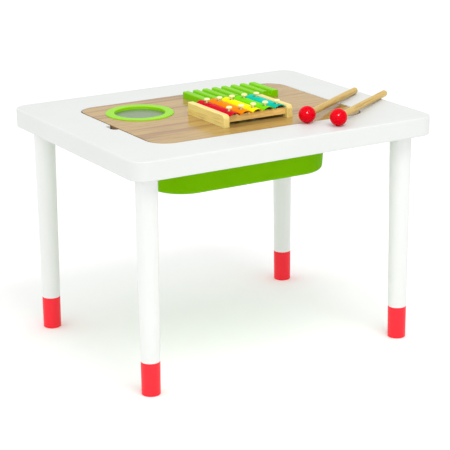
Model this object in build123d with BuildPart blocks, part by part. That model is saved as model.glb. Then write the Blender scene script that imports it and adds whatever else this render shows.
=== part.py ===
from build123d import *
from math import asin, cos, radians, sin
import os

# A child's activity table: a thick painted top on four round legs, a storage tub hung in the
# top, and a loose music board over the tub. The board carries a drum, a ribbed scraper and a
# five-bar xylophone. Two mallets lie on the top.
# Frame: origin on the floor under the centre of the top, +X along the long side, +Y to the
# back, +Z up. All sizes are in millimetres.

os.makedirs("parts", exist_ok=True)

# ---------------------------------------------------------------- clearances
lift_clearance = 2.0      # around the board in its pocket, each side
tub_clearance = 2.0       # around the tub's body in the hole of the top, each side
flange_clearance = 1.0    # around the tub's flange in its rabbet, each side
flange_headroom = 0.3     # between the tub's flange and the board above it
bore_clearance = 0.05     # radial, round every hidden bolt, screw, dowel and spigot
ring_clearance = 0.2      # radial, round the drum's skirt in the bore of the board
rest_clearance = 0.3      # under a round piece that lies loose on a flat face

# ---------------------------------------------------------------- table top
top_length = 635.0
top_width = 508.0
top_thickness = 36.0
top_height = 444.0
top_corner_radius = 30.0
top_edge_radius = 3.0
under_edge_radius = 2.5

pocket_length = 454.0
pocket_width = 330.0
pocket_edge_radius = 2.0

notch_centre_y = -4.0
notch_length = 37.0
notch_depth = 12.0
notch_corner_radius = 9.0

# ---------------------------------------------------------------- legs and feet
leg_inset_x = 45.5        # from the ends of the top to the axis of a leg
leg_inset_y = 48.5
leg_top_diameter = 41.0
leg_floor_diameter = 34.5
foot_height = 63.0
foot_edge_radius = 1.5
joint_chamfer = 0.6       # on both sides of the line where a foot meets its leg
spigot_diameter = 20.0
spigot_length = 30.0

bolt_diameter = 8.0
bolt_in_leg = 35.0
bolt_in_nut = 18.0
nut_diameter = 12.0
nut_length = 20.0
nut_flange_diameter = 17.0
nut_flange_thickness = 1.5

# ---------------------------------------------------------------- tub
tub_inset_x = 38.5        # from the pocket's sides to the tub's body
tub_inset_y = 36.0
tub_depth = 99.9
tub_collar_height = 27.5  # the collar under the flange, a little proud of the body
tub_collar_step = 0.6
tub_corner_radius = 73.0
tub_bottom_radius = 9.0
tub_draft = 3.5
tub_wall = 2.5
tub_flange_width = 14.0
tub_flange_thickness = 3.0
tub_lip_radius = 1.0

# ---------------------------------------------------------------- music board
board_thickness = 12.0
board_drop = 0.5          # the board's face lies this far below the table's face
board_corner_radius = 38.0
board_edge_radius = 1.0

# ---------------------------------------------------------------- drum
drum_x = -134.7
drum_y = 71.2
drum_lip_diameter = 130.0
drum_opening_diameter = 96.0
drum_lip_height = 1.8
drum_lip_outer_radius = 1.6
drum_lip_inner_radius = 1.4
drum_skirt_diameter = 117.0
drum_skirt_wall = 4.0
drum_skirt_length = 10.0
drum_head_drop = 5.6      # the head's face lies this far below the top of the lip
drum_head_thickness = 1.0
drum_hoop_width = 6.0

# ---------------------------------------------------------------- scraper
scraper_left = -5.0
scraper_front = 48.0
scraper_length = 166.0
scraper_width = 87.0
scraper_base_height = 6.0
scraper_ridge_height = 7.3
scraper_ridge_width = 15.5
scraper_ridge_flank = 2.6
scraper_ridge_round = 2.2
scraper_end_round = 1.2
scraper_ridges = 8

# ---------------------------------------------------------------- xylophone
bar_names = ("red", "orange", "yellow", "green", "teal")
bar_first_x = -38.3
bar_pitch = 26.0
bar_width = 22.0
bar_lip = 1.2             # height of the straight edges under the arch
bar_rise = 6.0            # from the felt to the crown
bar_sheet = 1.0
bar_longest = 125.5
bar_step = 5.3            # each bar is this much shorter than the one before it
bar_centre_y = -56.0
bar_hole_diameter = 9.0

pin_inset_front = 22.2    # from the ends of the longest bar to its pins
pin_inset_back = 23.2
pin_row_closing = 2.0     # from bar to bar the back row comes this much forward
pin_stem_diameter = 4.0
pin_cap_diameter = 11.5
pin_cap_height = 3.2
pin_cap_round = 2.7
pin_in_rail = 7.0
pin_play = 4.8            # room over a bar before it meets the caps of its pins

cheek_thickness = 12.3
cheek_left_gap = 1.3      # between the first bar and the left cheek
cheek_right_gap = 1.5
cheek_left_front_reach = 13.5  # how far the cheeks reach past the rails
cheek_left_back_reach = 20.4
cheek_right_front_reach = 7.0
cheek_right_back_reach = 10.8
cheek_height = 23.0
cheek_front_radius = 8.0
cheek_back_radius = 6.0
cheek_foot_radius = 2.5
cheek_edge_radius = 1.4

rail_gap = 6.0            # open height under the rails
rail_height = 12.2
rail_width = 18.0         # each rail lies centred under its row of pins
rail_edge_radius = 1.0
felt_thickness = 1.2
felt_width = 8.0

dowel_diameter = 5.0
dowel_length = 16.0

# ---------------------------------------------------------------- board screws
screw_diameter = 3.5
screw_head_diameter = 7.0
screw_head_height = 2.4
screw_length = 18.0
screw_inset = 11.0        # from the end of a cheek or the edge of the scraper

# ---------------------------------------------------------------- mallets
ball_diameter = 32.0
handle_diameter = 12.7
handle_reach = 266.0      # from the ball's centre to the tip
handle_in_ball = 14.0
handle_tip_radius = 5.6
mallet_heading = 35.4     # degrees from +X towards +Y
mallet_1_x = 83.8
mallet_1_from_pocket = 5.8     # from the pocket's front side to the ball's foot
mallet_2_x = 119.8
mallet_2_from_edge = 34.3      # from the table's front edge to the ball's foot

# ---------------------------------------------------------------- levels
top_under = top_height - top_thickness
board_top = top_height - board_drop
board_under = board_top - board_thickness
flange_top = board_under - flange_headroom
flange_under = flange_top - tub_flange_thickness
tub_under = flange_under - tub_depth
drum_lip_top = board_top + drum_lip_height
drum_head_top = drum_lip_top - drum_head_drop
drum_head_under = drum_head_top - drum_head_thickness
drum_skirt_under = board_top - drum_skirt_length
rail_under = board_top + rail_gap
rail_top = rail_under + rail_height
felt_top = rail_top + felt_thickness
bar_crown_top = felt_top + bar_rise
cap_under = bar_crown_top + pin_play

# ---------------------------------------------------------------- shared places
pocket_corner_radius = board_corner_radius + lift_clearance
board_length = pocket_length - 2 * lift_clearance
board_width = pocket_width - 2 * lift_clearance
leg_spacing_x = top_length - 2 * leg_inset_x
leg_spacing_y = top_width - 2 * leg_inset_y
tub_length = pocket_length - 2 * tub_inset_x
tub_width = pocket_width - 2 * tub_inset_y
flange_length = tub_length + 2 * tub_flange_width
flange_width = tub_width + 2 * tub_flange_width
flange_corner_radius = tub_corner_radius + tub_flange_width
scraper_pitch = (scraper_length - scraper_ridge_width) / (scraper_ridges - 1)
bar_centres_x = [bar_first_x + i * bar_pitch for i in range(len(bar_names))]
bar_lengths = [bar_longest - i * bar_step for i in range(len(bar_names))]
pin_row_front = bar_centre_y - bar_longest / 2 + pin_inset_front
pin_row_back = bar_centre_y + bar_longest / 2 - pin_inset_back
cheek_left_inner = bar_centres_x[0] - bar_width / 2 - cheek_left_gap
cheek_right_inner = bar_centres_x[-1] + bar_width / 2 + cheek_right_gap
mallet_1_y = -pocket_width / 2 - mallet_1_from_pocket
mallet_2_y = -top_width / 2 + mallet_2_from_edge
leg_places = {
    "front_left": (-leg_spacing_x / 2, -leg_spacing_y / 2),
    "front_right": (leg_spacing_x / 2, -leg_spacing_y / 2),
    "back_left": (-leg_spacing_x / 2, leg_spacing_y / 2),
    "back_right": (leg_spacing_x / 2, leg_spacing_y / 2),
}
leg_points = list(leg_places.values())


def front_row_y(x):
    """The front row of pins runs straight along X at every place x."""
    return pin_row_front


def back_row_y(x):
    """The back row of pins closes in on the front one, as the bars get shorter."""
    return pin_row_back - pin_row_closing * (x - bar_first_x) / bar_pitch


# The ends of both cheeks, in front of and behind the rails that they carry.
cheek_left_front = front_row_y(cheek_left_inner) - rail_width / 2 - cheek_left_front_reach
cheek_left_back = back_row_y(cheek_left_inner) + rail_width / 2 + cheek_left_back_reach
cheek_right_front = front_row_y(cheek_right_inner) - rail_width / 2 - cheek_right_front_reach
cheek_right_back = back_row_y(cheek_right_inner) + rail_width / 2 + cheek_right_back_reach

cheek_screw_points = [
    (cheek_left_inner - cheek_thickness / 2, cheek_left_front + screw_inset),
    (cheek_left_inner - cheek_thickness / 2, cheek_left_back - screw_inset),
    (cheek_right_inner + cheek_thickness / 2, cheek_right_front + screw_inset),
    (cheek_right_inner + cheek_thickness / 2, cheek_right_back - screw_inset),
]
scraper_screw_points = []
for ridge in (1, scraper_ridges - 2):
    ridge_x = scraper_left + scraper_ridge_width / 2 + ridge * scraper_pitch
    scraper_screw_points.append((ridge_x, scraper_front + screw_inset))
    scraper_screw_points.append((ridge_x, scraper_front + scraper_width - screw_inset))
screw_points = cheek_screw_points + scraper_screw_points


def leg_radius(height):
    """Radius of the tapered leg at a height above the floor."""
    taper = (leg_top_diameter - leg_floor_diameter) / top_under
    return (leg_floor_diameter + taper * height) / 2


def upright_plane(x, y, z=0.0):
    """A plane that faces the front, for profiles that turn about a vertical axis at x, y."""
    return Plane(origin=(x, y, z), x_dir=(1, 0, 0), z_dir=(0, -1, 0))


def save(piece, name):
    """Label a finished piece and write it as its own node."""
    piece.label = name
    export_step(piece, f"parts/{name}.step")


# ---------------------------------------------------------------- table top
def make_table_top():
    """The slab: a stepped pocket for the board and the tub, a finger notch and four nut seats."""
    with BuildPart() as table_top:
        with BuildSketch(Plane.XY.offset(top_under)):
            RectangleRounded(top_length, top_width, top_corner_radius)
        extrude(amount=top_thickness)
        fillet(table_top.faces().sort_by(Axis.Z)[-1].edges(), top_edge_radius)
        fillet(table_top.faces().sort_by(Axis.Z)[0].edges(), under_edge_radius)

        # The pocket that the board drops into, with the finger notch in its left side.
        with BuildSketch(Plane.XY.offset(board_under)):
            RectangleRounded(pocket_length, pocket_width, pocket_corner_radius)
            with Locations((-pocket_length / 2, notch_centre_y)):
                RectangleRounded(2 * notch_depth, notch_length, notch_corner_radius)
        extrude(amount=top_thickness, mode=Mode.SUBTRACT)
        rim = table_top.edges().group_by(Axis.Z)[-1]
        pocket_rim = [edge for edge in rim if abs(edge.center().X) < pocket_length / 2 + notch_depth + 1
                      and abs(edge.center().Y) < pocket_width / 2 + 1]
        fillet(pocket_rim, pocket_edge_radius)

        # The rabbet that the tub's flange hangs in, and the hole for the tub's body.
        with BuildSketch(Plane.XY.offset(flange_under)):
            RectangleRounded(
                flange_length + 2 * flange_clearance,
                flange_width + 2 * flange_clearance,
                flange_corner_radius + flange_clearance,
            )
        extrude(amount=top_thickness, mode=Mode.SUBTRACT)
        with BuildSketch(Plane.XY.offset(top_under)):
            RectangleRounded(
                tub_length + 2 * tub_clearance,
                tub_width + 2 * tub_clearance,
                tub_corner_radius + tub_clearance,
            )
        extrude(amount=top_thickness, mode=Mode.SUBTRACT)

        # A seat in the underside for each leg's insert nut.
        with BuildSketch(Plane.XY.offset(top_under)):
            with Locations(*leg_points):
                Circle(nut_diameter / 2 + bore_clearance)
        extrude(amount=nut_length, mode=Mode.SUBTRACT)
        with BuildSketch(Plane.XY.offset(top_under)):
            with Locations(*leg_points):
                Circle(nut_flange_diameter / 2 + bore_clearance)
        extrude(amount=nut_flange_thickness, mode=Mode.SUBTRACT)
    save(table_top.part, "table_top")


# ---------------------------------------------------------------- legs
def make_leg(name, x, y):
    """A turned, tapered leg with a spigot for its foot and a blind hole for its bolt."""
    with BuildPart() as leg:
        with BuildSketch(upright_plane(x, y)):
            with BuildLine():
                Polyline(
                    (0, foot_height - spigot_length),
                    (spigot_diameter / 2, foot_height - spigot_length),
                    (spigot_diameter / 2, foot_height),
                    (leg_radius(foot_height) - joint_chamfer, foot_height),
                    (leg_radius(foot_height + joint_chamfer), foot_height + joint_chamfer),
                    (leg_radius(top_under), top_under),
                    (bolt_diameter / 2 + bore_clearance, top_under),
                    (bolt_diameter / 2 + bore_clearance, top_under - bolt_in_leg),
                    (0, top_under - bolt_in_leg),
                    close=True,
                )
            make_face()
        revolve(axis=Axis((x, y, 0), (0, 0, 1)))
    save(leg.part, name)


def make_foot(name, x, y):
    """The coloured end of a leg, flush with it, with a socket for the leg's spigot."""
    with BuildPart() as foot:
        with BuildSketch(upright_plane(x, y)):
            with BuildLine():
                Polyline(
                    (0, 0),
                    (leg_radius(0), 0),
                    (leg_radius(foot_height - joint_chamfer), foot_height - joint_chamfer),
                    (leg_radius(foot_height) - joint_chamfer, foot_height),
                    (spigot_diameter / 2 + bore_clearance, foot_height),
                    (spigot_diameter / 2 + bore_clearance, foot_height - spigot_length),
                    (0, foot_height - spigot_length),
                    close=True,
                )
            make_face()
        revolve(axis=Axis((x, y, 0), (0, 0, 1)))
        fillet(foot.faces().sort_by(Axis.Z)[0].edges(), foot_edge_radius)
    save(foot.part, name)


def make_leg_bolts():
    """One bolt at each leg: half in the leg, half in the insert nut of the top."""
    with BuildPart() as leg_bolts:
        with BuildSketch(Plane.XY.offset(top_under - bolt_in_leg)):
            with Locations(*leg_points):
                Circle(bolt_diameter / 2)
        extrude(amount=bolt_in_leg + bolt_in_nut)
        ends = leg_bolts.edges().filter_by(GeomType.CIRCLE)
        chamfer(ends, bolt_diameter / 16)
    save(leg_bolts.part, "leg_bolts")


def make_insert_nuts():
    """The flanged nuts set in the underside of the top, flush with it."""
    with BuildPart() as insert_nuts:
        with BuildSketch(Plane.XY.offset(top_under)):
            with Locations(*leg_points):
                Circle(nut_flange_diameter / 2)
        extrude(amount=nut_flange_thickness)
        with BuildSketch(Plane.XY.offset(top_under)):
            with Locations(*leg_points):
                Circle(nut_diameter / 2)
        extrude(amount=nut_length)
        with BuildSketch(Plane.XY.offset(top_under)):
            with Locations(*leg_points):
                Circle(bolt_diameter / 2 + bore_clearance)
        extrude(amount=nut_length, mode=Mode.SUBTRACT)
    save(insert_nuts.part, "insert_nuts")


# ---------------------------------------------------------------- tub
def make_tub():
    """The storage tub: drafted walls, a rounded bottom and a flange that hangs in the top."""
    inner_depth = flange_top - tub_under - tub_wall
    with BuildPart() as hollow:
        with BuildSketch(Plane.XY.offset(flange_top)):
            RectangleRounded(
                tub_length - 2 * tub_collar_step - 2 * tub_wall,
                tub_width - 2 * tub_collar_step - 2 * tub_wall,
                tub_corner_radius - tub_collar_step - tub_wall,
            )
        extrude(amount=-inner_depth, taper=tub_draft)
        fillet(hollow.faces().sort_by(Axis.Z)[0].edges(), tub_bottom_radius - tub_wall)

    with BuildPart() as tub:
        with BuildSketch(Plane.XY.offset(flange_under)):
            RectangleRounded(
                tub_length - 2 * tub_collar_step,
                tub_width - 2 * tub_collar_step,
                tub_corner_radius - tub_collar_step,
            )
        extrude(amount=-tub_depth, taper=tub_draft)
        fillet(tub.faces().sort_by(Axis.Z)[0].edges(), tub_bottom_radius)
        with BuildSketch(Plane.XY.offset(flange_under)):
            RectangleRounded(tub_length, tub_width, tub_corner_radius)
        extrude(amount=-tub_collar_height, taper=tub_draft)
        with BuildSketch(Plane.XY.offset(flange_under)):
            RectangleRounded(flange_length, flange_width, flange_corner_radius)
        extrude(amount=tub_flange_thickness)
        fillet(tub.faces().sort_by(Axis.Z)[-1].edges(), tub_lip_radius)
        add(hollow.part, mode=Mode.SUBTRACT)
    save(tub.part, "tub")


# ---------------------------------------------------------------- music board
def make_music_board():
    """The loose board over the tub, bored for the drum and countersunk below for the screws."""
    with BuildPart() as music_board:
        with BuildSketch(Plane.XY.offset(board_under)):
            RectangleRounded(board_length, board_width, board_corner_radius)
        extrude(amount=board_thickness)
        fillet(music_board.faces().sort_by(Axis.Z)[-1].edges(), board_edge_radius)
        with BuildSketch(Plane.XY.offset(board_under)):
            with Locations((drum_x, drum_y)):
                Circle(drum_skirt_diameter / 2 + ring_clearance)
            with Locations(*screw_points):
                Circle(screw_diameter / 2 + bore_clearance)
        extrude(amount=board_thickness, mode=Mode.SUBTRACT)
        for x, y in screw_points:
            with BuildSketch(upright_plane(x, y, board_under)):
                with BuildLine():
                    Polyline(
                        (0, 0),
                        (screw_head_diameter / 2 + bore_clearance, 0),
                        (screw_diameter / 2 + bore_clearance, screw_head_height),
                        (0, screw_head_height),
                        close=True,
                    )
                make_face()
            revolve(axis=Axis((x, y, 0), (0, 0, 1)), mode=Mode.SUBTRACT)
    save(music_board.part, "music_board")


def make_board_screws():
    """The countersunk screws that hold the scraper and the xylophone from below."""
    with BuildPart() as board_screws:
        for x, y in screw_points:
            with BuildSketch(upright_plane(x, y, board_under)):
                with BuildLine():
                    Polyline(
                        (0, 0),
                        (screw_head_diameter / 2, 0),
                        (screw_diameter / 2, screw_head_height),
                        (screw_diameter / 2, screw_length - screw_diameter / 2),
                        (0, screw_length),
                        close=True,
                    )
                make_face()
            revolve(axis=Axis((x, y, 0), (0, 0, 1)))
    save(board_screws.part, "board_screws")


def pilot_holes(points):
    """The blind pilot holes that board screws need in a piece on the board."""
    with BuildPart() as holes:
        with BuildSketch(Plane.XY.offset(board_top)):
            with Locations(*points):
                Circle(screw_diameter / 2 + bore_clearance)
        extrude(amount=screw_length - board_thickness)
    return holes.part


# ---------------------------------------------------------------- drum
def make_drum_ring():
    """The drum's ring: a rounded lip on the board, a skirt in the board's bore and a shoulder."""
    lip_radius = drum_lip_diameter / 2
    opening_radius = drum_opening_diameter / 2
    skirt_radius = drum_skirt_diameter / 2
    with BuildPart() as drum_ring:
        with BuildSketch(upright_plane(drum_x, drum_y)):
            with BuildLine():
                Polyline(
                    (opening_radius, drum_head_top),
                    (opening_radius, drum_lip_top),
                    (lip_radius, drum_lip_top),
                    (lip_radius, board_top),
                    (skirt_radius, board_top),
                    (skirt_radius, drum_skirt_under),
                    (skirt_radius - drum_skirt_wall, drum_skirt_under),
                    (skirt_radius - drum_skirt_wall, drum_head_top),
                    close=True,
                )
            make_face()
        revolve(axis=Axis((drum_x, drum_y, 0), (0, 0, 1)))
        lip_edges = drum_ring.faces().sort_by(Axis.Z)[-1].edges().sort_by(SortBy.LENGTH)
        fillet(lip_edges[-1], drum_lip_outer_radius)
        fillet(lip_edges[0], drum_lip_inner_radius)
    save(drum_ring.part, "drum_ring")


def make_drum_head():
    """The drum's translucent head, held up against the shoulder of the ring."""
    with BuildPart() as drum_head:
        with BuildSketch(Plane.XY.offset(drum_head_under)):
            with Locations((drum_x, drum_y)):
                Circle(drum_skirt_diameter / 2 - drum_skirt_wall - bore_clearance)
        extrude(amount=drum_head_thickness)
    save(drum_head.part, "drum_head")


def make_drum_hoop():
    """The inner hoop that presses the head against the ring, level with the skirt's end."""
    hoop_outer = drum_skirt_diameter / 2 - drum_skirt_wall - bore_clearance
    with BuildPart() as drum_hoop:
        with BuildSketch(Plane.XY.offset(drum_skirt_under)):
            with Locations((drum_x, drum_y)):
                Circle(hoop_outer)
                Circle(hoop_outer - drum_hoop_width, mode=Mode.SUBTRACT)
        extrude(amount=drum_head_under - drum_skirt_under)
    save(drum_hoop.part, "drum_hoop")


# ---------------------------------------------------------------- scraper
def make_scraper():
    """The ribbed scraper: a block with grooves across it, played with a mallet."""
    base_top = board_top + scraper_base_height
    ridge_top = base_top + scraper_ridge_height
    back = scraper_front + scraper_width
    groove_floor = scraper_pitch - scraper_ridge_width
    screw_holes = pilot_holes(scraper_screw_points)
    with BuildPart() as scraper:
        with BuildSketch(upright_plane(0, back)) as section:
            with Locations((scraper_left, board_top)):
                Rectangle(scraper_length, ridge_top - board_top, align=(Align.MIN, Align.MIN))
            for groove in range(scraper_ridges - 1):
                left = scraper_left + scraper_ridge_width + groove * scraper_pitch
                right = left + groove_floor
                with BuildLine():
                    Polyline(
                        (left, base_top),
                        (left - scraper_ridge_flank, ridge_top),
                        (right + scraper_ridge_flank, ridge_top),
                        (right, base_top),
                        close=True,
                    )
                make_face(mode=Mode.SUBTRACT)
            crests = section.vertices().group_by(Axis.Y)[-1]
            fillet(crests, scraper_ridge_round)
        extrude(amount=scraper_width)
        fillet(scraper.edges().filter_by(Axis.Z).group_by(Axis.X)[0], scraper_end_round)
        fillet(scraper.edges().filter_by(Axis.Z).group_by(Axis.X)[-1], scraper_end_round)
        add(screw_holes, mode=Mode.SUBTRACT)
    save(scraper.part, "scraper")


# ---------------------------------------------------------------- xylophone
def make_cheek(name, west, front, back):
    """A side block of the xylophone's frame, with rounded upper ends and soft edges."""
    middle = (front + back) / 2
    own_screws = [point for point in cheek_screw_points if west < point[0] < west + cheek_thickness]
    screw_holes = pilot_holes(own_screws)
    dowel_holes = dowels(bore_clearance)
    with BuildPart() as cheek:
        side_plane = Plane(origin=(west, middle, board_top), x_dir=(0, 1, 0), z_dir=(1, 0, 0))
        with BuildSketch(side_plane) as side:
            Rectangle(back - front, cheek_height, align=(Align.CENTER, Align.MIN))
            upper = side.vertices().group_by(Axis.Y)[-1].sort_by(Axis.X)
            lower = side.vertices().group_by(Axis.Y)[0]
            fillet(upper[0], cheek_front_radius)
            fillet(upper[1], cheek_back_radius)
            fillet(lower, cheek_foot_radius)
        extrude(amount=cheek_thickness)
        long_edges = cheek.faces().filter_by(Axis.X).edges().filter_by(
            lambda edge: edge.center().Z > board_top)
        fillet(long_edges, cheek_edge_radius)
        add(screw_holes, mode=Mode.SUBTRACT)
        add(dowel_holes, mode=Mode.SUBTRACT)
    save(cheek.part, name)


def band(row_y, width):
    """The outline of a strip between the cheeks, centred on a row of pins."""
    west = cheek_left_inner
    east = cheek_right_inner
    return [
        (west, row_y(west) - width / 2),
        (east, row_y(east) - width / 2),
        (east, row_y(east) + width / 2),
        (west, row_y(west) + width / 2),
    ]


def pin_points(row_y):
    """The places of one row of pins, one at each bar."""
    return [(x, row_y(x)) for x in bar_centres_x]


def dowel_points():
    """The places of the dowels that join both rails to both cheeks."""
    height = rail_under + rail_height / 2
    return [(x, row_y(x), height)
            for row_y in (front_row_y, back_row_y)
            for x in (cheek_left_inner, cheek_right_inner)]


def dowels(clearance):
    """The dowels between rails and cheeks, or with a clearance the holes that take them."""
    with BuildPart() as pegs:
        for x, y, z in dowel_points():
            with BuildSketch(Plane(origin=(x, y, z), x_dir=(0, 1, 0), z_dir=(1, 0, 0))):
                Circle(dowel_diameter / 2 + clearance)
            extrude(amount=dowel_length / 2, both=True)
    return pegs.part


def make_rail(name, row_y):
    """A rail between the cheeks, bored for one row of pins."""
    dowel_holes = dowels(bore_clearance)
    with BuildPart() as rail:
        with BuildSketch(Plane.XY.offset(rail_under)):
            with BuildLine():
                Polyline(*band(row_y, rail_width), close=True)
            make_face()
        extrude(amount=rail_height)
        top_edges = rail.faces().sort_by(Axis.Z)[-1].edges().sort_by(SortBy.LENGTH)
        fillet(top_edges[-2:], rail_edge_radius)
        with BuildSketch(Plane.XY.offset(rail_top - pin_in_rail)):
            with Locations(*pin_points(row_y)):
                Circle(pin_stem_diameter / 2 + bore_clearance)
        extrude(amount=pin_in_rail, mode=Mode.SUBTRACT)
        add(dowel_holes, mode=Mode.SUBTRACT)
    save(rail.part, name)


def make_felt(name, row_y):
    """A felt strip on a rail, under the bars and pierced by the pins."""
    with BuildPart() as felt:
        with BuildSketch(Plane.XY.offset(rail_top)):
            with BuildLine():
                Polyline(*band(row_y, felt_width), close=True)
            make_face()
            with Locations(*pin_points(row_y)):
                Circle(pin_stem_diameter / 2 + bore_clearance, mode=Mode.SUBTRACT)
        extrude(amount=felt_thickness)
    save(felt.part, name)


def make_pins():
    """The mushroom-capped pins that keep the bars in place, two to a bar."""
    with BuildPart() as pins:
        for row_y in (front_row_y, back_row_y):
            for x, y in pin_points(row_y):
                with BuildSketch(upright_plane(x, y)) as half:
                    with BuildLine():
                        Polyline(
                            (0, rail_top - pin_in_rail),
                            (pin_stem_diameter / 2, rail_top - pin_in_rail),
                            (pin_stem_diameter / 2, cap_under),
                            (pin_cap_diameter / 2, cap_under),
                            (pin_cap_diameter / 2, cap_under + pin_cap_height),
                            (0, cap_under + pin_cap_height),
                            close=True,
                        )
                    make_face()
                    fillet(half.vertices().group_by(Axis.Y)[-1].sort_by(Axis.X)[-1], pin_cap_round)
                revolve(axis=Axis((x, y, 0), (0, 0, 1)))
    save(pins.part, "xylophone_pins")


def make_bar(name, x, length):
    """One sounding bar: sheet metal pressed to a low arch, with a loose hole at each pin."""
    outer = bar_width / 2
    inner = outer - bar_sheet
    spring_line = felt_top + bar_lip
    back = bar_centre_y + length / 2
    with BuildPart() as bar:
        with BuildSketch(upright_plane(x, back)):
            with BuildLine():
                Line((-outer, felt_top), (-outer, spring_line))
                ThreePointArc((-outer, spring_line), (0, bar_crown_top), (outer, spring_line))
                Line((outer, spring_line), (outer, felt_top))
                Line((outer, felt_top), (inner, felt_top))
                Line((inner, felt_top), (inner, spring_line))
                ThreePointArc((inner, spring_line), (0, bar_crown_top - bar_sheet), (-inner, spring_line))
                Line((-inner, spring_line), (-inner, felt_top))
                Line((-inner, felt_top), (-outer, felt_top))
            make_face()
        extrude(amount=length)
        with BuildSketch(Plane.XY.offset(felt_top)):
            with Locations((x, front_row_y(x)), (x, back_row_y(x))):
                Circle(bar_hole_diameter / 2)
        extrude(amount=bar_rise + bar_sheet, mode=Mode.SUBTRACT)
    save(bar.part, name)


# ---------------------------------------------------------------- mallets
def mallet_axis(x, y, support):
    """The mallet's line: from its ball's centre down to the handle's support on the table."""
    drop = asin((ball_diameter - handle_diameter) / 2 / support)
    heading = radians(mallet_heading)
    direction = Vector(cos(heading) * cos(drop), sin(heading) * cos(drop), -sin(drop))
    centre = Vector(x, y, top_height + rest_clearance + ball_diameter / 2)
    return centre, direction


def make_mallet(number, x, y, support):
    """A mallet: a ball on a dowel handle that is glued into a blind hole."""
    centre, direction = mallet_axis(x, y, support)
    hole_floor = ball_diameter / 2 - handle_in_ball
    hole_plane = Plane(origin=centre + direction * hole_floor, z_dir=direction)

    with BuildPart(Plane(origin=centre, z_dir=direction)) as head:
        Sphere(ball_diameter / 2)
        with BuildSketch(hole_plane):
            Circle(handle_diameter / 2 + bore_clearance)
        extrude(amount=ball_diameter, mode=Mode.SUBTRACT)
    save(head.part, f"mallet_{number}_head")

    with BuildPart() as handle:
        with BuildSketch(hole_plane):
            Circle(handle_diameter / 2)
        extrude(amount=handle_reach - hole_floor)
        tip = handle.faces().sort_by(lambda face: (face.center() - centre).dot(direction))[-1]
        fillet(tip.edges(), handle_tip_radius)
    save(handle.part, f"mallet_{number}_handle")


# ---------------------------------------------------------------- the whole table
make_table_top()
for place, (leg_x, leg_y) in leg_places.items():
    make_leg(f"leg_{place}", leg_x, leg_y)
    make_foot(f"foot_{place}", leg_x, leg_y)
make_leg_bolts()
make_insert_nuts()
make_tub()
make_music_board()
make_board_screws()
make_drum_ring()
make_drum_head()
make_drum_hoop()
make_scraper()

make_cheek("xylophone_left_cheek", cheek_left_inner - cheek_thickness, cheek_left_front, cheek_left_back)
make_cheek("xylophone_right_cheek", cheek_right_inner, cheek_right_front, cheek_right_back)
make_rail("xylophone_front_rail", front_row_y)
make_rail("xylophone_back_rail", back_row_y)
make_felt("front_felt_strip", front_row_y)
make_felt("back_felt_strip", back_row_y)
save(dowels(0.0), "rail_dowels")
make_pins()
for bar_name, bar_x, bar_length in zip(bar_names, bar_centres_x, bar_lengths):
    make_bar(f"bar_{bar_name}", bar_x, bar_length)

# The first handle rests near its tip. The second one rests on the table's rounded end.
tip_support = handle_reach - handle_tip_radius
edge_support = (top_length / 2 - top_edge_radius - mallet_2_x) / cos(radians(mallet_heading))
make_mallet(1, mallet_1_x, mallet_1_y, tip_support)
make_mallet(2, mallet_2_x, mallet_2_y, edge_support)
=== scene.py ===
import bpy
from math import cos, radians, sin
from mathutils import Matrix, Vector

# The looks of a child's musical activity table: paint, lacquer, wood and moulded plastic on the
# frame's own nodes. Lengths are metres in the frame's axes.

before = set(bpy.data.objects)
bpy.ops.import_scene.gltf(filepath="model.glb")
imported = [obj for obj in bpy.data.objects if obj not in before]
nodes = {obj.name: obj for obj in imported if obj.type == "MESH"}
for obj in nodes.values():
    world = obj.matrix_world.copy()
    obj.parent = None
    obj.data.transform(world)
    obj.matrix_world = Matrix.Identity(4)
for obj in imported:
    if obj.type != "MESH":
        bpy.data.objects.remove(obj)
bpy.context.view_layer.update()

# ---------------------------------------------------------------- colours, as sRGB bytes
# The top's white is written darker than the legs' white: painted shade that offsets the stronger
# light on the level top.
TOP_WHITE_WITH_SHADE = (212, 214, 212)
LEG_PAINT = (222, 224, 221)
RED_PAINT = (240, 36, 50)
TUB_GREEN = (109, 173, 0)
RING_GREEN = (142, 210, 8)
SCRAPER_GREEN = (126, 200, 0)
HOOP_GREEN = (92, 160, 10)
DRUM_SKIN = (108, 128, 94)
BOARD_LIGHT = (178, 145, 80)
BOARD_DARK = (150, 112, 60)
BOARD_FIBRE = (118, 80, 36)
BOARD_EDGE = (128, 97, 55)
PINE_LIGHT = (236, 216, 132)
PINE_DARK = (212, 180, 88)
PINE_FIBRE = (176, 134, 58)
RAIL_LIGHT = (244, 206, 122)
RAIL_DARK = (218, 174, 92)
HANDLE_LIGHT = (204, 172, 98)
HANDLE_DARK = (180, 146, 72)
DOWEL_LIGHT = (222, 196, 146)
DOWEL_DARK = (196, 164, 112)
FELT = (66, 52, 40)
PIN_CREAM = (234, 236, 168)
BALL_RED = (216, 0, 22)
STEEL = (188, 190, 192)
# Dark brown on the rails' faces that look down: painted shade for the dark gap under the rails.
RAIL_PAINTED_SHADE = (74, 48, 24)
BLACK = (0.0, 0.0, 0.0, 1.0)    # linear, as are WHITE and what linear() gives
WHITE = (1.0, 1.0, 1.0, 1.0)
BAR_COLOURS = {
    "red": (204, 0, 34),
    "orange": (244, 134, 0),
    "yellow": (246, 234, 0),
    "green": (116, 212, 0),
    "teal": (0, 192, 170),
}
# A bar keeps this share of its colour on faces that look down: painted shade for the dark gaps
# under the bars.
BAR_PAINTED_SHADE = 0.3    # of a bar's colour, below it

# ---------------------------------------------------------------- grain, as growth bands per metre
# along X, Y and Z; the smallest number is the direction of the grain.
BOARD_GRAIN = (1.9, 46.0, 46.0)
CHEEK_GRAIN = (60.0, 1.8, 60.0)
RAIL_GRAIN = (9.0, 110.0, 110.0)    # of the dowels too
HANDLE_GRAIN = (9.0, 160.0, 160.0)
MALLET_HEADING = 35.4    # degrees from +X to the handles

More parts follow.
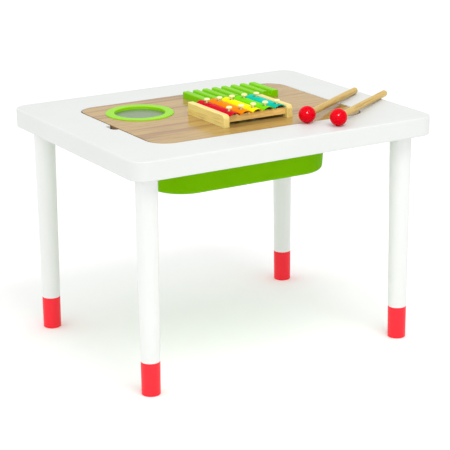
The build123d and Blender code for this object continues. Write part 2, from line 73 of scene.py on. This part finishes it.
# A colour mix node has sockets for every type of data. These are its colour ones.
MIX_FACTOR, MIX_FIRST, MIX_SECOND, MIX_RESULT = 0, 6, 7, 2


def linear(colour):
    """An sRGB byte colour as the linear RGBA that shader sockets take."""
    channels = []
    for byte in colour:
        value = byte / 255
        channels.append(value / 12.92 if value <= 0.04045 else ((value + 0.055) / 1.055) ** 2.4)
    return (*channels, 1.0)


def shade(colour, factor):
    """A linear colour made darker or lighter by a factor."""
    return (*[min(channel * factor, 1.0) for channel in colour[:3]], 1.0)


# ---------------------------------------------------------------- material helpers
class Shader:
    """A small builder for one material's node tree."""

    def __init__(self, name):
        self.material = bpy.data.materials.new(name)
        self.material.use_nodes = True
        self.tree = self.material.node_tree
        self.bsdf = self.tree.nodes["Principled BSDF"]
        self.place = self.tree.nodes.new("ShaderNodeTexCoord").outputs["Object"]

    def node(self, kind, inputs=(), **settings):
        """A new node with its settings, and its inputs given as sockets or plain values."""
        node = self.tree.nodes.new(kind)
        for key, value in settings.items():
            setattr(node, key, value)
        for key, value in dict(inputs).items():
            if isinstance(value, bpy.types.NodeSocket):
                self.tree.links.new(value, node.inputs[key])
            else:
                node.inputs[key].default_value = value
        return node

    def set(self, **values):
        """Plain values on the shader's own sockets; _ stands for a space."""
        for key, value in values.items():
            self.bsdf.inputs[key.replace("_", " ")].default_value = value

    def link(self, socket, name):
        self.tree.links.new(socket, self.bsdf.inputs[name])

    def stretched(self, scale, heading=0.0):
        """Object coordinates turned so that X lies along a heading, then scaled along each axis."""
        turn = (0, 0, -radians(heading))
        turned = self.node("ShaderNodeMapping", {"Vector": self.place, "Rotation": turn})
        inputs = {"Vector": turned.outputs["Vector"], "Scale": scale}
        mapping = self.node("ShaderNodeMapping", inputs)
        return mapping.outputs["Vector"]

    def noise(self, vector, scale, detail=2.0, roughness=0.5, distortion=0.0):
        inputs = {"Vector": vector, "Scale": scale, "Detail": detail,
                  "Roughness": roughness, "Distortion": distortion}
        return self.node("ShaderNodeTexNoise", inputs).outputs["Fac"]

    def ramp(self, factor, stops):
        """A colour ramp with (position, linear colour) stops."""
        node = self.node("ShaderNodeValToRGB", {"Fac": factor})
        elements = node.color_ramp.elements
        while len(elements) < len(stops):
            elements.new(0.5)    # moved to its own position below
        for element, (position, colour) in zip(elements, stops):
            element.position = position
            element.color = colour
        return node.outputs["Color"]

    def varied(self, factor, base, dim, low=0.3, high=0.7):
        """A linear colour that a 0-to-1 value takes from a dimmer shade of it to itself."""
        return self.ramp(factor, [(low, shade(base, dim)), (high, base)])

    def mix(self, factor, first, second):
        """Two colours mixed by a factor: the first at 0, the second at 1."""
        node = self.tree.nodes.new("ShaderNodeMix")
        node.data_type = "RGBA"
        for index, value in ((MIX_FACTOR, factor), (MIX_FIRST, first), (MIX_SECOND, second)):
            if isinstance(value, bpy.types.NodeSocket):
                self.tree.links.new(value, node.inputs[index])
            else:
                node.inputs[index].default_value = value
        return node.outputs[MIX_RESULT]

    def span(self, factor, low, high):
        """A 0-to-1 value moved to the range from low to high."""
        inputs = {"Value": factor, "To Min": low, "To Max": high}
        return self.node("ShaderNodeMapRange", inputs).outputs["Result"]

    def gloss(self, factor, low, high):
        """Roughness that a 0-to-1 value takes from low to high."""
        self.link(self.span(factor, low, high), "Roughness")

    def rise(self):
        """The upward share of the face's normal: 1 on top faces, -1 on undersides."""
        facing = self.tree.nodes.new("ShaderNodeTexCoord").outputs["Normal"]
        return self.node("ShaderNodeSeparateXYZ", {"Vector": facing}).outputs["Z"]

    def upright_share(self):
        """1 on upright faces and 0 on level ones."""
        size = self.node("ShaderNodeMath", {0: self.rise()}, operation="ABSOLUTE").outputs["Value"]
        return self.ramp(size, [(0.45, WHITE), (0.8, BLACK)])

    def downward_share(self):
        """1 on undersides and 0 on faces that look up or out."""
        fall = self.node("ShaderNodeMath", {0: self.rise(), 1: -1.0}, operation="MULTIPLY")
        return self.ramp(fall.outputs["Value"], [(0.2, BLACK), (0.4, WHITE)])

    def bump(self, height, distance):
        """Relief of a height in metres."""
        inputs = {"Height": height, "Distance": distance, "Strength": 1.0}
        node = self.node("ShaderNodeBump", inputs)
        self.link(node.outputs["Normal"], "Normal")


def paint(name, colour, roughness=0.38, specular=0.5):
    """Sprayed satin paint: faint tone changes, uneven gloss and orange peel."""
    shader = Shader(name)
    cloud = shader.noise(shader.place, scale=9.0, detail=3.0)
    shader.link(shader.varied(cloud, linear(colour), dim=0.975), "Base Color")
    grain = shader.noise(shader.place, scale=420.0)
    shader.gloss(grain, roughness - 0.04, roughness + 0.05)
    shader.set(Specular_IOR_Level=specular)
    orange_peel = shader.noise(shader.place, scale=700.0, detail=1.5)
    shader.bump(orange_peel, distance=0.00004)
    return shader.material


def plastic(name, colour, roughness=0.32, specular=0.4):
    """Moulded plastic: an even colour with a fine spark-eroded texture."""
    shader = Shader(name)
    cloud = shader.noise(shader.place, scale=14.0)
    shader.link(shader.varied(cloud, linear(colour), dim=0.95), "Base Color")
    grain = shader.noise(shader.place, scale=1500.0)
    shader.gloss(grain, roughness - 0.05, roughness + 0.07)
    shader.set(Specular_IOR_Level=specular)
    shader.bump(grain, distance=0.00003)
    return shader.material


def wood(name, light, dark, fibre, bands_per_metre, roughness, specular=0.4, seed=0.0,
         heading=0.0, edge=None, painted_underside_shade=None):
    """Wood with growth bands and fine fibres, its grain where there are fewest bands per metre.

    The colours are sRGB bytes. The edge colour is for the upright faces, and the last colour,
    a painted shade, for those that look down. The seed moves the pattern, so that two woods differ.
    """
    shader = Shader(name)
    light, dark, fibre = linear(light), linear(dark), linear(fibre)
    place = shader.stretched(bands_per_metre, heading)
    vector = shader.node("ShaderNodeVectorMath", {0: place, 1: (seed, seed, seed)},
                         operation="ADD").outputs["Vector"]
    bands = shader.noise(vector, scale=1.0, detail=3.0, roughness=0.55, distortion=0.6)
    tone = shader.ramp(bands, [(0.34, dark), (0.5, light), (0.66, shade(light, 0.93))])
    fibres = shader.noise(vector, scale=9.0, detail=4.0, roughness=0.65, distortion=0.15)
    streaks = shader.ramp(fibres, [(0.36, WHITE), (0.47, BLACK)])
    grain = shader.mix(shader.span(streaks, low=0.0, high=0.55), tone, fibre)
    if edge is not None:
        grain = shader.mix(shader.upright_share(), grain, linear(edge))
    # Faces that look down can take a colour of painted shade.
    if painted_underside_shade is not None:
        grain = shader.mix(shader.downward_share(), grain, linear(painted_underside_shade))
    shader.link(grain, "Base Color")
    shader.gloss(fibres, roughness - 0.08, roughness + 0.08)
    shader.set(Specular_IOR_Level=specular)
    shader.bump(fibres, distance=0.00006)
    return shader.material


def lacquer(name, colour, roughness=0.25, specular=0.012, painted_underside_shade=1.0):
    """A saturated gloss coat with a slight ripple.

    The last argument is the share of the colour kept on faces that look down. Below 1 that
    darkening is painted shade, which deepens the dark gaps under a piece.
    """
    shader = Shader(name)
    base = linear(colour)
    cloud = shader.noise(shader.place, scale=40.0)
    coat = shader.varied(cloud, base, dim=0.93)
    # Faces that look down take a darker share of the colour: painted shade.
    coat = shader.mix(shader.downward_share(), coat, shade(base, painted_underside_shade))
    shader.link(coat, "Base Color")
    shader.gloss(cloud, roughness - 0.05, roughness + 0.08)
    shader.set(Specular_IOR_Level=specular)
    shader.bump(shader.noise(shader.place, scale=300.0), distance=0.00003)
    return shader.material


def steel(name):
    """Zinc-plated steel with a fine turned finish."""
    shader = Shader(name)
    turning_marks = shader.stretched(scale=(1, 1, 8))
    grain = shader.noise(turning_marks, scale=400.0, detail=3.0)
    shader.link(shader.varied(grain, linear(STEEL), dim=0.8), "Base Color")
    shader.gloss(grain, 0.28, 0.45)
    shader.set(Metallic=1.0)
    shader.bump(grain, distance=0.00003)
    return shader.material


def felt(name):
    """Pressed felt: matt, with a fuzzy tangle of fibres."""
    shader = Shader(name)
    fuzz = shader.noise(shader.place, scale=900.0, detail=4.0, roughness=0.7)
    shader.link(shader.varied(fuzz, linear(FELT), dim=0.72, high=0.65), "Base Color")
    shader.set(Roughness=0.95, Specular_IOR_Level=0.1, Sheen_Weight=0.3)
    shader.bump(fuzz, distance=0.0003)
    return shader.material


def skin(name):
    """The drum head: a frosted sheet, opaque, in the grey-green of the photograph."""
    shader = Shader(name)
    cloud = shader.noise(shader.place, scale=26.0, detail=3.0)
    shader.link(shader.varied(cloud, linear(DRUM_SKIN), dim=0.9), "Base Color")
    grain = shader.noise(shader.place, scale=900.0)
    shader.gloss(grain, 0.22, 0.34)
    shader.set(Specular_IOR_Level=0.5)
    shader.bump(grain, distance=0.00002)
    return shader.material


# ---------------------------------------------------------------- materials on the frame's nodes
# The top's paint carries painted shade against the light on the level top.
white_paint = paint("white_paint", TOP_WHITE_WITH_SHADE, roughness=0.5)
leg_paint = paint("leg_paint", LEG_PAINT)
red_paint = paint("red_paint", RED_PAINT, roughness=0.4, specular=0.25)
tub_green = plastic("tub_green", TUB_GREEN, roughness=0.42, specular=0.012)
ring_green = plastic("ring_green", RING_GREEN, roughness=0.3, specular=0.08)
hoop_green = plastic("hoop_green", HOOP_GREEN)
scraper_green = plastic("scraper_green", SCRAPER_GREEN, roughness=0.3, specular=0.05)
pin_cream = plastic("pin_cream", PIN_CREAM, roughness=0.3, specular=0.2)
drum_skin = skin("drum_skin")
steel_plated = steel("steel_plated")
felt_strip = felt("felt_strip")
ball_red = lacquer("ball_red", BALL_RED, roughness=0.14, specular=0.06)

board_wood = wood("board_wood", BOARD_LIGHT, BOARD_DARK, BOARD_FIBRE, BOARD_GRAIN,
                  roughness=0.16, specular=0.23, edge=BOARD_EDGE)
cheek_pine = wood("cheek_pine", PINE_LIGHT, PINE_DARK, PINE_FIBRE, CHEEK_GRAIN,
                  roughness=0.4, seed=3.0)
# The rails' faces that look down get painted shade.
rail_pine = wood("rail_pine", RAIL_LIGHT, RAIL_DARK, RAIL_DARK, RAIL_GRAIN,
                 roughness=0.5, seed=7.0, painted_underside_shade=RAIL_PAINTED_SHADE)
dowel_wood = wood("dowel_wood", DOWEL_LIGHT, DOWEL_DARK, DOWEL_DARK, RAIL_GRAIN,
                  roughness=0.6, seed=11.0)
handle_wood = wood("handle_wood", HANDLE_LIGHT, HANDLE_DARK, HANDLE_DARK, HANDLE_GRAIN,
                   roughness=0.5, seed=5.0, heading=MALLET_HEADING)

finishes = {
    "table_top": white_paint,
    "leg_bolts": steel_plated,
    "insert_nuts": steel_plated,
    "tub": tub_green,
    "music_board": board_wood,
    "board_screws": steel_plated,
    "drum_ring": ring_green,
    "drum_head": drum_skin,
    "drum_hoop": hoop_green,
    "scraper": scraper_green,
    "xylophone_left_cheek": cheek_pine,
    "xylophone_right_cheek": cheek_pine,
    "xylophone_front_rail": rail_pine,
    "xylophone_back_rail": rail_pine,
    "front_felt_strip": felt_strip,
    "back_felt_strip": felt_strip,
    "rail_dowels": dowel_wood,
    "xylophone_pins": pin_cream,
}
for place in ("front_left", "front_right", "back_left", "back_right"):
    finishes[f"leg_{place}"] = leg_paint
    finishes[f"foot_{place}"] = red_paint
for bar, colour in BAR_COLOURS.items():
    finishes[f"bar_{bar}"] = lacquer(f"lacquer_{bar}", colour, painted_underside_shade=BAR_PAINTED_SHADE)
for number in (1, 2):
    finishes[f"mallet_{number}_head"] = ball_red
    finishes[f"mallet_{number}_handle"] = handle_wood
for name, material in finishes.items():
    for slot in nodes[name].material_slots:
        slot.material = material

# ---------------------------------------------------------------- camera
CAMERA_AZIMUTH = -30.80   # degrees
CAMERA_ELEVATION = 17.136
CAMERA_ROLL = -0.56
CAMERA_TARGET = Vector((-0.00131, -0.01559, 0.222))
CAMERA_DISTANCE = 3.2698
CAMERA_LENS = 135.84      # millimetres, as is the sensor's width
CAMERA_SENSOR = 36.0
CAMERA_REACH = 100.0


def place_camera():
    """A long lens that looks down on the table's front left corner, very slightly rolled."""
    azimuth = radians(CAMERA_AZIMUTH)
    elevation = radians(CAMERA_ELEVATION)
    roll = radians(CAMERA_ROLL)
    back = Vector((sin(azimuth) * cos(elevation), -cos(azimuth) * cos(elevation), sin(elevation)))
    side = Vector((cos(azimuth), sin(azimuth), 0.0))
    up = back.cross(side)
    turned_side = side * cos(roll) + up * sin(roll)
    turned_up = up * cos(roll) - side * sin(roll)
    camera = bpy.data.objects.new("camera", bpy.data.cameras.new("camera"))
    bpy.context.scene.collection.objects.link(camera)
    matrix = Matrix((turned_side, turned_up, back)).transposed().to_4x4()
    matrix.translation = CAMERA_TARGET + back * CAMERA_DISTANCE
    camera.matrix_world = matrix
    camera.data.sensor_width = CAMERA_SENSOR
    camera.data.lens = CAMERA_LENS
    camera.data.clip_end = CAMERA_REACH
    bpy.context.scene.camera = camera


place_camera()

# ---------------------------------------------------------------- floor, light and background
FLOOR_HALF = 12.0
FLOOR_DIM = (0.97, 0.97, 0.97, 1.0)       # linear
FLOOR_BRIGHT = (0.99, 0.99, 0.99, 1.0)

# The room is brightest towards one side. The levels are shares of white.
ROOM_TOWARDS = (-0.8, -0.2, -0.5)
ROOM_FAR_LEVEL = 0.82
ROOM_NEAR_LEVEL = 1.5
ROOM_SEEN_LEVEL = 1.0

# The two lamps that add highlights alone stand at one place. The sheen leaves out the table top,
# which it clips to white when seen from behind, and the board.
GLOSS_PLACE = (-1.15, -2.0, 2.2)
GLOSS_AIM = (0.12, -0.17, 0.46)
NOT_IN_SHEEN = ("table_top", "music_board")
BALLS = ("mallet_1_head", "mallet_2_head")


def make_floor():
    """A plain white floor, matt, that takes the table's soft shadow and is clear from below."""
    mesh = bpy.data.meshes.new("floor")
    corners = [(-FLOOR_HALF, -FLOOR_HALF, 0), (FLOOR_HALF, -FLOOR_HALF, 0),
               (FLOOR_HALF, FLOOR_HALF, 0), (-FLOOR_HALF, FLOOR_HALF, 0)]
    mesh.from_pydata(corners, [], [(0, 1, 2, 3)])
    floor = bpy.data.objects.new("floor", mesh)
    bpy.context.scene.collection.objects.link(floor)
    shader = Shader("floor_white")
    cloud = shader.noise(shader.place, scale=3.0)
    shader.link(shader.ramp(cloud, [(0.0, FLOOR_DIM), (1.0, FLOOR_BRIGHT)]), "Base Color")
    shader.set(Roughness=0.9, Specular_IOR_Level=0.0)
    below = shader.node("ShaderNodeNewGeometry").outputs["Backfacing"]
    clear = shader.node("ShaderNodeBsdfTransparent").outputs["BSDF"]
    matt = shader.bsdf.outputs["BSDF"]
    one_sided = shader.node("ShaderNodeMixShader", {0: below, 1: matt, 2: clear})
    output = shader.tree.nodes["Material Output"]
    shader.tree.links.new(one_sided.outputs["Shader"], output.inputs["Surface"])
    mesh.materials.append(shader.material)


def area_light(name, place, aim, size, power, gloss_only=False, only_on=()):
    """A square soft box at a place, turned to a point.

    One for gloss alone adds only highlights, and one with names lights only those nodes.
    """
    data = bpy.data.lights.new(name, "AREA")
    data.size = size
    data.energy = power
    light = bpy.data.objects.new(name, data)
    bpy.context.scene.collection.objects.link(light)
    light.location = place
    light.rotation_euler = (Vector(aim) - Vector(place)).to_track_quat("-Z", "Y").to_euler()
    light.visible_diffuse = not gloss_only
    if only_on:
        receivers = bpy.data.collections.new(f"{name}_receivers")
        for node_name in only_on:
            receivers.objects.link(nodes[node_name])
        light.light_linking.receiver_collection = receivers


def make_background(towards, far_level, near_level, seen_level):
    """A white room, brightest in one direction, and of one level where the camera sees it.

    Reflections see the room's own levels, not the one that the camera sees.
    """
    world = bpy.data.worlds.new("white_room")
    world.use_nodes = True
    bpy.context.scene.world = world
    tree = world.node_tree
    background = tree.nodes["Background"]
    direction = tree.nodes.new("ShaderNodeTexCoord")
    facing = tree.nodes.new("ShaderNodeVectorMath")
    room = tree.nodes.new("ShaderNodeMapRange")
    path = tree.nodes.new("ShaderNodeLightPath")
    level = tree.nodes.new("ShaderNodeMapRange")
    facing.operation = "DOT_PRODUCT"
    facing.inputs[1].default_value = Vector(towards).normalized()
    room.inputs["From Min"].default_value = -1.0
    room.inputs["To Min"].default_value = far_level
    room.inputs["To Max"].default_value = near_level
    level.inputs["To Max"].default_value = seen_level
    tree.links.new(direction.outputs["Generated"], facing.inputs[0])
    tree.links.new(facing.outputs["Value"], room.inputs["Value"])
    tree.links.new(room.outputs["Result"], level.inputs["To Min"])
    tree.links.new(path.outputs["Is Camera Ray"], level.inputs["Value"])
    tree.links.new(level.outputs["Result"], background.inputs["Strength"])
    background.inputs["Color"].default_value = WHITE


make_floor()
make_background(ROOM_TOWARDS, ROOM_FAR_LEVEL, ROOM_NEAR_LEVEL, ROOM_SEEN_LEVEL)
area_light("front_top", place=(0.0, -1.7, 3.0), aim=(0.0, 0.0, 0.35), size=1.6, power=35.0)
in_sheen = [name for name in nodes if name not in NOT_IN_SHEEN]
area_light("sheen", GLOSS_PLACE, GLOSS_AIM, size=0.6, power=40.0, gloss_only=True,
           only_on=in_sheen)
area_light("spark", GLOSS_PLACE, GLOSS_AIM, size=0.4, power=300.0, gloss_only=True,
           only_on=BALLS)

bpy.context.scene.view_settings.view_transform = "Standard"
